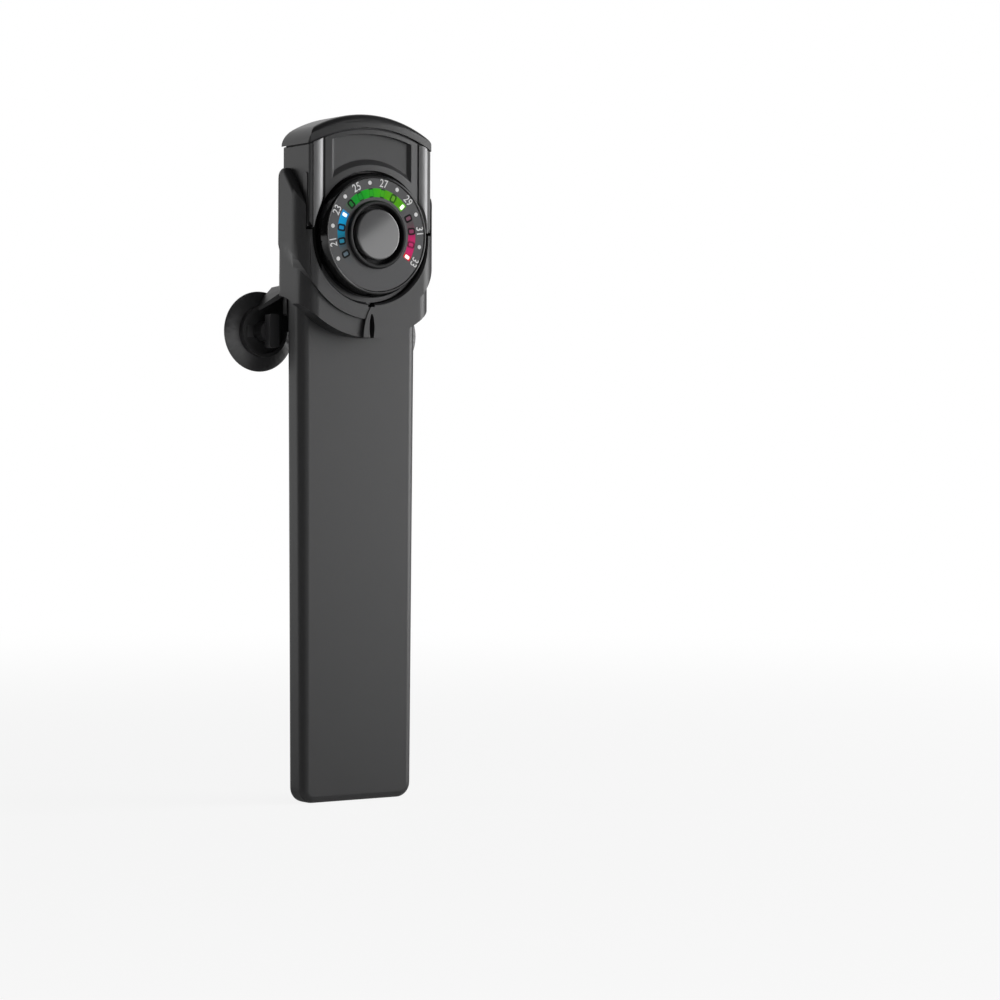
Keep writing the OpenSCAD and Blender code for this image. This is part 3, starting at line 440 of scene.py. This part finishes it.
# ---- Control board and its parts ----------------------------------------------------------
# A glass-fibre board under green mask, with copper runs below the mask. It carries the lights,
# the controller, the power switch, the dropper capacitor, the sensor and the tactile switch.
runs_scale, run_gap, run_h, run_w = 300, 0.035, 0.5, 1.6
laminate, tree, shader, grain = grained(
    "board_laminate", srgb(24, 92, 52), size=0.0006, spread=0.15, rough=0.35
)
place = add_node(tree, "ShaderNodeTexCoord")
turned = add_node(tree, "ShaderNodeMapping")
turned.inputs["Rotation"].default_value = (math.radians(90), 0, 0)
tree.links.new(place.outputs["Object"], turned.inputs["Vector"])
runs = add_node(tree, "ShaderNodeTexBrick")
for entry, value in (
    ("Scale", runs_scale), ("Mortar Size", run_gap), ("Row Height", run_h),
    ("Brick Width", run_w),
):
    runs.inputs[entry].default_value = value
tree.links.new(turned.outputs[0], runs.inputs["Vector"])
masked = mixed(tree, runs.outputs["Fac"], grain.outputs["Colour"], srgb(58, 128, 70))
tree.links.new(masked, shader.inputs["Base Color"])
wear("circuit_board", laminate)
epoxy = grained("chip_plastic", srgb(44, 44, 46), size=0.0002, spread=0.2, rough=0.55)[0]
for node in (
    "control_chip", "triac", "temperature_sensor", "switch_housing", "switch_plunger"
):
    wear(node, epoxy)
wear("capacitor", grained(
    "capacitor_case", srgb(190, 138, 44), size=0.0008, spread=0.12, rough=0.3
)[0])
wear("led_chips", grained(
    "led_package", srgb(232, 226, 200), size=0.0004, spread=0.1, rough=0.3
)[0])
wear("board_screws", metal("screw_steel", srgb(196, 198, 202), 0.28, size=0.0004))


# ---- Seals --------------------------------------------------------------------------------
# Flat and round rubber seals between the mouldings, and the rubber diaphragm round the
# button's stem.
seal = grained("seal_rubber", srgb(40, 40, 42), size=0.0004, spread=0.25, rough=0.62)[0]
for node in ("sleeve_seal", "cap_seal", "bezel_seal", "button_seal"):
    wear(node, seal)


# ---- Sleeve -------------------------------------------------------------------------------
# The flat hollow sleeve that holds the element: one moulding of heat-proof plastic, finely
# eroded, with its sharp edges rounded.
def apply_modifier(piece, kind, **settings):
    """Adds a modifier to the active object and applies it."""
    modifier = piece.modifiers.new(kind.lower(), kind)
    for name, value in settings.items():
        setattr(modifier, name, value)
    bpy.ops.object.modifier_apply(modifier=modifier.name)


def dressed(node, made, body, edge=0.0, rims=None, rim_r=0.0, flat_faces=True):
    """A merged copy of a CAD solid with its sharp edges broken, which stands for that solid."""
    crease, merge_within, flat_within = math.radians(34), 0.000002, math.radians(0.4)
    bpy.ops.object.select_all(action="DESELECT")
    piece = bpy.data.objects.new(node + "_moulding", cad[node].data.copy())
    scene.collection.objects.link(piece)
    bpy.context.view_layer.objects.active = piece
    piece.select_set(True)
    bpy.ops.mesh.customdata_custom_splitnormals_clear()
    bpy.ops.object.mode_set(mode="EDIT")
    bpy.ops.mesh.select_all(action="SELECT")
    bpy.ops.mesh.remove_doubles(threshold=merge_within)
    bpy.ops.mesh.dissolve_limited(angle_limit=flat_within)
    bpy.ops.object.mode_set(mode="OBJECT")
    bpy.ops.object.shade_smooth_by_angle(angle=crease)
    if rims:
        rims(piece.data)
        apply_modifier(
            piece, "BEVEL", width=rim_r, segments=6, limit_method="WEIGHT",
            use_clamp_overlap=False,
        )
        bpy.ops.object.shade_smooth_by_angle(angle=crease)
    if edge:
        apply_modifier(
            piece, "BEVEL", width=edge, segments=2, limit_method="ANGLE",
            angle_limit=crease, use_clamp_overlap=True, miter_outer="MITER_ARC",
        )
        bpy.ops.object.shade_smooth_by_angle(angle=crease)
    if flat_faces:
        apply_modifier(piece, "WEIGHTED_NORMAL", keep_sharp=True, weight=60)
    piece.data.materials.clear()
    piece.data.materials.append(made)
    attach(piece, body)
    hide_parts(node)


sleeve_plastic = grained(
    "sleeve_plastic", srgb(50, 50, 51), size=0.0003, spread=0.16, rough=0.4
)[0]
dressed("sleeve", sleeve_plastic, "heater", edge=0.0002)


# ---- Head shell ---------------------------------------------------------------------------
# The housing of the controls, moulded in black plastic with a fine grain. Its front corners
# carry two half-round bars with a painted highlight in a light tone, each in a groove of
# painted shade.
def object_xyz(tree):
    """The piece's own coordinates, one output each for X, Y and Z."""
    place = add_node(tree, "ShaderNodeTexCoord")
    split = add_node(tree, "ShaderNodeSeparateXYZ")
    tree.links.new(place.outputs["Object"], split.inputs[0])
    return split.outputs


def distance(tree, aside, above):
    """The distance that two lengths at right angles to each other make."""
    squares = [math_node(tree, "MULTIPLY", length, length) for length in (aside, above)]
    return math_node(tree, "SQRT", math_node(tree, "ADD", *squares))


bar_x, bar_y, bar_r, bar_rough = 0.0183, -0.0269, 0.0015, 0.45
# The bars' light tone is a painted highlight, and the near-black ring round each is painted
# shade in its groove.
bar_highlight_colour, groove_shade_colour = srgb(192, 192, 193), srgb(12, 12, 12)
bar_out, bar_in, groove_out, groove_in = 1.12, 1.03, 1.5, 1.3
head_plastic, tree, shader, grain = grained(
    "head_plastic", srgb(50, 50, 51), size=0.0003, spread=0.16, rough=0.4
)
spot = object_xyz(tree)
from_bar = distance(
    tree, math_node(tree, "SUBTRACT", math_node(tree, "ABSOLUTE", spot["X"]), bar_x),
    math_node(tree, "SUBTRACT", spot["Y"], bar_y),
)
on_bar = map_range(tree, from_bar, bar_r * bar_out, bar_r * bar_in)
groove_shade_share = map_range(tree, from_bar, bar_r * groove_out, bar_r * groove_in)
groove_shaded = mixed(tree, groove_shade_share, grain.outputs["Colour"], groove_shade_colour)
tree.links.new(
    mixed(tree, on_bar, groove_shaded, bar_highlight_colour), shader.inputs["Base Color"]
)
tree.links.new(
    mixed(tree, on_bar, grain.outputs["Roughness"], bar_rough, kind="FLOAT"),
    shader.inputs["Roughness"],
)
dressed("head_shell", head_plastic, "heater", edge=0.00018)


# ---- Front cover --------------------------------------------------------------------------
# A separate moulding glued into the head's front, with a shallow recess and the round housing
# of the dial. Painted shade, near-black and matt, stands in the gaps at its upright edges.
# The near-black band at the cover's upright edges is painted shade in the gap between parts.
cover_edge, gap_w, dark_w, gap_shade_colour = 0.0166, 0.0007, 0.00042, srgb(8, 8, 8)
cover_plastic, tree, shader, grain = grained(
    "cover_plastic", srgb(52, 52, 53), size=0.0003, spread=0.14, rough=0.36
)
gap_shade_share = map_range(
    tree, math_node(tree, "ABSOLUTE", object_xyz(tree)["X"]), cover_edge - gap_w,
    cover_edge - dark_w,
)
tree.links.new(
    mixed(tree, gap_shade_share, grain.outputs["Colour"], gap_shade_colour), shader.inputs["Base Color"]
)
tree.links.new(
    mixed(tree, gap_shade_share, grain.outputs["Roughness"], 1.0, kind="FLOAT"),
    shader.inputs["Roughness"],
)
dressed("front_cover", cover_plastic, "heater", edge=0.00015)


# ---- Cap ----------------------------------------------------------------------------------
# The domed cap that closes the head: one black moulding with a satin skin. A hollow plug below
# it fits inside the head's walls and holds it.
cap_plastic = grained(
    "cap_plastic", srgb(48, 48, 49), size=0.0003, spread=0.12, rough=0.32
)[0]
dressed("top_cap", cap_plastic, "heater", edge=0.00025)


# ---- Cable gland --------------------------------------------------------------------------
# A soft rubber gland in the back of the head, where the mains cord goes in. A groove round it
# grips the head's wall, and its nose outside is tapered.
gland = grained("gland_rubber", srgb(44, 44, 46), size=0.0004, spread=0.2, rough=0.5)[0]
dressed("cable_gland", gland, "heater", edge=0.0001)


# ---- Bezel --------------------------------------------------------------------------------
# The glossy black ring that holds the dial, moulded in polished plastic. It sits in the round
# seat of the front cover, and the dial face rests on a ledge inside it.
bezel_plastic = grained(
    "bezel_plastic", srgb(17, 17, 18), size=0.0006, spread=0.1, rough=0.12,
    change=0.03, depth=0.000001
)[0]
dressed("bezel", bezel_plastic, "heater", edge=0.00015)


# ---- Dial face ----------------------------------------------------------------------------
# A satin disc with fourteen openings for the lights. A soft trail of colour is printed along
# each range of lights, with a dark outline round each opening.
dial_z, window_step, window_count = 0.028, 18.4, 14
ring_r, window_l, window_w = 0.0123, 0.0025, 0.00135

# Where a point lies on the scale: the count of the light it belongs to, and how far it lies
# across and along that light's window
place_group = bpy.data.node_groups.new("place_on_dial", "ShaderNodeTree")
for name in ("Count", "Across", "Along"):
    place_group.interface.new_socket(
        name=name, in_out="OUTPUT", socket_type="NodeSocketFloat"
    )
group_out = add_node(place_group, "NodeGroupOutput")
spot = object_xyz(place_group)
up = math_node(place_group, "SUBTRACT", spot["Z"], dial_z)
angle = math_node(place_group, "ARCTAN2", spot["X"], up)
count = math_node(
    place_group, "MULTIPLY_ADD", angle, 1 / math.radians(window_step),
    (window_count - 1) / 2,
)
radius = distance(place_group, spot["X"], up)
off_count = math_node(
    place_group, "SUBTRACT", count, math_node(place_group, "ROUND", count)
)
across = math_node(
    place_group, "MULTIPLY", off_count,
    math_node(place_group, "MULTIPLY", radius, math.radians(window_step)),
)
along = math_node(place_group, "SUBTRACT", radius, ring_r)
for name, measure in (("Count", count), ("Across", across), ("Along", along)):
    place_group.links.new(measure, group_out.inputs[name])


def scale_ramp(tree, count, stops, constant=False):
    """A colour for each place on the dial's scale, counted from the lowest light."""
    ramp = add_node(tree, "ShaderNodeValToRGB")
    ramp.color_ramp.interpolation = "CONSTANT" if constant else "LINEAR"
    places = [((place + 1) / (window_count + 1), colour) for place, colour in stops]
    marks = ramp.color_ramp.elements
    marks[0].position, marks[0].color = places[0]
    marks[1].position, marks[1].color = places[-1]
    for position, colour in places[1:-1]:
        marks.new(position).color = colour
    tree.links.new(map_range(tree, count, -1, window_count), ramp.inputs["Fac"])
    return ramp.outputs["Color"]


def scale_level(tree, count, stops, constant=False):
    """A value for each place on the dial's scale, counted from the lowest light."""
    return scale_ramp(
        tree, count, [(place, (v, v, v, 1)) for place, v in stops], constant
    )


# Each stop is a place on the scale and what holds there: the colour of the trail, how strongly
# it is printed, and how dark the outlines are along the windows' sides and at their ends
trail_colours = [
    (-1, srgb(50, 80, 90)), (0.4, srgb(30, 84, 100)), (1, srgb(0, 104, 130)),
    (1.6, srgb(0, 150, 190)), (2.4, srgb(0, 176, 240)), (3.3, srgb(0, 178, 250)),
    (3.4, srgb(10, 90, 40)), (4, srgb(0, 156, 50)), (4.5, srgb(0, 170, 44)),
    (5.5, srgb(20, 190, 34)), (6.5, srgb(60, 198, 18)), (7.5, srgb(92, 192, 8)),
    (9.4, srgb(94, 184, 14)), (9.6, srgb(96, 56, 70)), (10.4, srgb(104, 50, 66)),
    (11, srgb(150, 44, 84)), (11.5, srgb(216, 44, 116)), (12.4, srgb(228, 42, 120)),
    (13.3, srgb(228, 44, 100)), (14, srgb(228, 44, 100)),
]
trail_strengths = [
    (-1, 0), (-0.5, 0.08), (0.3, 0.12), (0.6, 0.35), (1, 0.85), (2, 1), (3.2, 1),
    (3.3, 0), (3.55, 0.12), (3.75, 0.35), (4, 0.95), (9.15, 1), (9.25, 0), (10, 0),
    (10.25, 0.25), (10.7, 0.4), (11, 0.8), (11.3, 1), (13.1, 1), (13.25, 0), (14, 0),
]
outline_strengths = [
    (-1, 0), (-0.5, 1), (0.5, 1), (1.5, 0.95), (2.5, 0), (3.5, 0.95), (4.5, 0.15),
    (5.5, 0), (6.5, 0), (7.5, 0.6), (8.5, 0.0), (9.5, 1), (10.5, 0.95),
    (11.5, 0.4), (12.5, 0), (14, 0),
]
end_strengths = [
    (-1, 0), (-0.5, 1), (0.5, 1), (1.5, 0.95), (2.5, 0), (3.5, 1), (4.5, 0.95),
    (5.5, 0.95), (6.5, 0.95), (7.5, 0.9), (8.5, 0.0), (9.5, 1), (10.5, 0.95),
    (11.5, 0.5), (12.5, 0), (14, 0),
]


def box_distance(tree, across, along, half_w, half_l):
    """How far a point lies outside a window's outline, in metres."""
    out_across, out_along = (
        math_node(tree, "SUBTRACT", math_node(tree, "ABSOLUTE", length), half)
        for length, half in ((across, half_w), (along, half_l))
    )
    corner = distance(
        tree, math_node(tree, "MAXIMUM", out_across, 0.0),
        math_node(tree, "MAXIMUM", out_along, 0.0),
    )
    inside = math_node(
        tree, "MINIMUM", math_node(tree, "MAXIMUM", out_across, out_along), 0.0
    )
    return math_node(tree, "ADD", corner, inside)


band_out, band_in = 0.00142, 0.00114
outline_out, outline_end, outline_r, outline_soft = 0.0004, 0.00008, 0.0007, 0.00006
sides_to, ends_from = 0.00108, 0.0012
outline_colour = srgb(4, 5, 6)
face_plastic, tree, shader, grain = grained(
    "face_plastic", srgb(62, 62, 64), size=0.00028, spread=0.2, rough=0.5
)
spot = add_node(tree, "ShaderNodeGroup", node_tree=place_group).outputs
off_ring = math_node(tree, "ABSOLUTE", spot["Along"])
printed = math_node(
    tree, "MULTIPLY", map_range(tree, off_ring, band_out, band_in, smooth=True),
    scale_level(tree, spot["Count"], trail_strengths),
)
trail = mixed(
    tree, printed, grain.outputs["Colour"], scale_ramp(tree, spot["Count"], trail_colours)
)
outside = box_distance(
    tree, spot["Across"], spot["Along"], window_w / 2 + outline_out - outline_r,
    window_l / 2 + outline_end - outline_r,
)
outline_share = mixed(
    tree, map_range(tree, off_ring, sides_to, ends_from),
    scale_level(tree, spot["Count"], outline_strengths, constant=True),
    scale_level(tree, spot["Count"], end_strengths, constant=True), kind="FLOAT",
)
outlined = math_node(
    tree, "MULTIPLY",
    map_range(tree, outside, outline_r + outline_soft, outline_r - outline_soft),
    outline_share,
)
tree.links.new(
    mixed(tree, outlined, trail, outline_colour), shader.inputs["Base Color"]
)
any_ink = math_node(tree, "MAXIMUM", printed, outlined)
tree.links.new(
    mixed(tree, any_ink, grain.outputs["Roughness"], 1.0, kind="FLOAT"),
    shader.inputs["Roughness"],
)
dressed("dial_face", face_plastic, "heater", edge=0.00008)


# ---- Numbers and dots ---------------------------------------------------------------------
# The scale printed in white on the dial: a number at every second light and a dot between.
# The print is a film of ink three hundredths of a millimetre thick.
face_y, ink_t, ink_edge = -0.0304, 0.00003, 0.4
print_r, number_h, dot_r, lowest = 0.01528, 0.0024, 0.00062, 20
font_size, font_narrow, letter_gap, stroke_more = number_h * 1.36, 0.86, 1.04, 0.00003
ink = grained("white_print", srgb(226, 226, 226), size=0.0005, spread=0.08, rough=0.5)[0]


def print_number(degrees):
    """A flat number at the origin, with its strokes a little bolder than the font's."""
    bpy.ops.object.text_add(location=(0, 0, 0))
    piece = bpy.context.object
    piece.data.body = str(degrees)
    piece.data.align_x = "CENTER"
    piece.data.align_y = "CENTER"
    piece.data.size = font_size
    piece.data.space_character = letter_gap
    piece.data.offset = stroke_more
    piece.data.extrude = ink_t / 2
    bpy.ops.object.convert(target="MESH")
    piece = bpy.context.object
    left, low = (min(v.co[axis] for v in piece.data.vertices) for axis in (0, 1))
    right, high = (max(v.co[axis] for v in piece.data.vertices) for axis in (0, 1))
    piece.data.transform(
        Matrix.Diagonal((font_narrow, number_h / (high - low), 1, 1))
        @ Matrix.Translation((-(left + right) / 2, -(low + high) / 2, ink_t / 2))
    )
    bpy.ops.object.mode_set(mode="EDIT")
    bpy.ops.mesh.select_all(action="SELECT")
    bpy.ops.mesh.remove_doubles(threshold=0.000001)
    bpy.ops.object.mode_set(mode="OBJECT")
    piece.name = f"number_{degrees}"
    return piece


def print_dot(degrees):
    """A flat dot at the origin."""
    bpy.ops.mesh.primitive_cylinder_add(
        vertices=32, radius=dot_r, depth=ink_t, location=(0, 0, 0)
    )
    piece = bpy.context.object
    piece.data.transform(Matrix.Translation((0, 0, ink_t / 2)))
    apply_modifier(piece, "BEVEL", width=ink_t * ink_edge)
    piece.name = f"dot_{degrees}"
    return piece


for place in range(window_count):
    degrees = lowest + place
    bpy.ops.object.select_all(action="DESELECT")
    piece = print_number(degrees) if degrees % 2 else print_dot(degrees)
    turn = math.radians((place - (window_count - 1) / 2) * window_step)
    piece.data.transform(
        Matrix.Translation((0, face_y, dial_z))
        @ Matrix.Rotation(turn, 4, "Y")
        @ Matrix.Translation((0, 0, print_r))
        @ Matrix.Rotation(math.pi / 2, 4, "X")
    )
    piece.data.materials.clear()
    piece.data.materials.append(ink)
    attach(piece, "heater")


# ---- Light windows ------------------------------------------------------------------------
# Clear plastic light guides, one over each light, frosted at the front. The last light of each
# range is on.
clear_w, clear_l, clear_r, rim_soft = 0.00106, 0.0016, 0.0003, 0.00005
dash_from, dash_to, dash_colour = 0.00092, 0.00108, srgb(14, 34, 14)
cloud_share, rim_glow, glow_strength = 0.06, 0.25, 0.8
inner_colours = [
    (-1, srgb(104, 122, 134)), (0.5, srgb(44, 150, 184)), (1.5, srgb(0, 160, 224)),
    (2.5, srgb(226, 244, 255)), (3.5, srgb(8, 128, 44)), (4.5, srgb(0, 172, 42)),
    (5.5, srgb(40, 194, 26)), (6.5, srgb(76, 196, 14)), (7.5, srgb(112, 192, 40)),
    (8.5, srgb(240, 255, 226)), (9.5, srgb(134, 84, 104)), (10.5, srgb(156, 60, 100)),
    (11.5, srgb(222, 50, 122)), (12.5, srgb(255, 232, 230)), (14, srgb(255, 232, 230)),
]
rim_colours = [
    (-1, srgb(5, 7, 8)), (0.5, srgb(3, 10, 14)), (1.5, srgb(0, 26, 44)),
    (2.5, srgb(0, 150, 225)), (3.5, srgb(4, 22, 10)), (4.5, srgb(14, 150, 40)),
    (5.5, srgb(40, 176, 36)), (6.5, srgb(70, 180, 30)), (7.5, srgb(44, 100, 20)),
    (8.5, srgb(110, 200, 40)), (9.5, srgb(10, 5, 7)), (10.5, srgb(28, 6, 16)),
    (11.5, srgb(120, 18, 60)), (12.5, srgb(228, 50, 44)), (14, srgb(228, 50, 44)),
]
glow_levels = [
    (-1, 0), (2.5, 1), (3.5, 0), (8.5, 1), (9.5, 0), (12.5, 1), (14, 1)
]
dash_strengths = [(-1, 0), (4.5, 0.95), (7.5, 0), (14, 0)]


def light_guide(name):
    """A window's material: pale inside, dark or coloured at the rim, and lit where it is on."""
    made, tree, shader, grain = grained(
        name, (0.5, 0.5, 0.5, 1), size=0.0006, spread=0.06, rough=0.9, depth=0.000002
    )
    spot = add_node(tree, "ShaderNodeGroup", node_tree=place_group).outputs
    outside = box_distance(
        tree, spot["Across"], spot["Along"], clear_w / 2 - clear_r, clear_l / 2 - clear_r
    )
    at_rim = map_range(
        tree, outside, clear_r - rim_soft, clear_r + rim_soft, smooth=True
    )
    dash = math_node(
        tree, "MULTIPLY",
        map_range(tree, math_node(tree, "ABSOLUTE", spot["Along"]), dash_from, dash_to),
        scale_level(tree, spot["Count"], dash_strengths, constant=True),
    )
    body = mixed(
        tree, at_rim, scale_ramp(tree, spot["Count"], inner_colours, constant=True),
        scale_ramp(tree, spot["Count"], rim_colours, constant=True),
    )
    dashed = mixed(tree, dash, body, dash_colour)
    clouded = mixed(
        tree, cloud_share, dashed, grain.outputs["Colour"], blend_type="MULTIPLY"
    )
    tree.links.new(clouded, shader.inputs["Base Color"])
    lamp = math_node(
        tree, "MULTIPLY", scale_level(tree, spot["Count"], glow_levels, constant=True),
        map_range(tree, at_rim, 0, 1, 1, rim_glow),
    )
    tree.links.new(
        mixed(tree, lamp, (0, 0, 0, 1), dashed), shader.inputs["Emission Color"]
    )
    shader.inputs["Emission Strength"].default_value = glow_strength
    return made


for node, slot in (
    ("blue_windows", "blue_lens"), ("green_windows", "green_lens"),
    ("red_windows", "red_lens"),
):
    wear(node, light_guide(slot))


# ---- Button collar ------------------------------------------------------------------------
# The raised ring round the button, moulded in dark satin plastic. Its tube goes through the
# dial face and carries the rubber diaphragm.
collar_plastic = grained(
    "collar_plastic", srgb(30, 30, 31), size=0.0003, spread=0.14, rough=0.4, ior=1.3
)[0]
dressed("button_collar", collar_plastic, "heater", edge=0.00015)


# ---- Button -------------------------------------------------------------------------------
# The push button: one polished smoke-grey moulding of a disc with a rounded rim and a stem. The
# stem goes through the diaphragm to the switch.
button_plastic = grained(
    "button_plastic", srgb(98, 98, 99), size=0.0005, spread=0.05, rough=0.045,
    change=0.01, depth=0.0000003, ior=1.72
)[0]
dressed("button", button_plastic, "button", edge=0.0)


# ---- Holder -------------------------------------------------------------------------------
# The clip that hugs the heater: one springy moulding of band, wings, lip, latch fin and two
# sockets for the suction cups.
holder_plastic = grained(
    "holder_plastic", srgb(50, 50, 51), size=0.0003, spread=0.16, rough=0.4
)[0]
wing_foot, wing_back, wing_outer, wing_near = 0.0355, -0.016, 0.0241, 0.00011
most_sideways, least_upward, least_outward = 0.05, 0.3, 0.5


def mark_wing_rims(mesh):
    """Marks the outer rims of the two wings, all but their curved feet."""
    beside = {}
    for face in mesh.polygons:
        for key in face.edge_keys:
            beside.setdefault(key, []).append(face.normal)
    weights = mesh.attributes.new("bevel_weight_edge", "FLOAT", "EDGE").data
    for edge in mesh.edges:
        ends = [mesh.vertices[v].co for v in edge.vertices]
        out = (ends[0].x + ends[1].x) / 2
        by_lean = sorted(beside[edge.key], key=lambda normal: abs(normal.x))
        cut, skin = by_lean[0], by_lean[-1]
        upward = abs(cut.x) < most_sideways and cut.z > least_upward
        outward = skin.x * out > 0 and abs(skin.x) > least_outward
        high = min(end.z for end in ends) > wing_foot
        level = abs(out) > wing_outer - wing_near or ends[0].y > wing_back
        if upward and outward and high and level:
            weights[edge.index].value = 1


dressed(
    "holder", holder_plastic, "holder", edge=0.0002,
    rims=mark_wing_rims, rim_r=0.0014,
)


# ---- Suction cups -------------------------------------------------------------------------
# Soft glossy vinyl: cup, neck and hammer-head stud in one moulding, pushed through the
# holder's socket and turned.
cup_vinyl = grained(
    "cup_vinyl", srgb(44, 44, 46), size=0.0006, spread=0.2, rough=0.36, change=0.05,
    depth=0.000002, ior=1.9
)[0]
for side in ("left", "right"):
    dressed(
        f"{side}_suction_cup", cup_vinyl, f"{side}_cup", edge=0.0,
        flat_faces=False,
    )
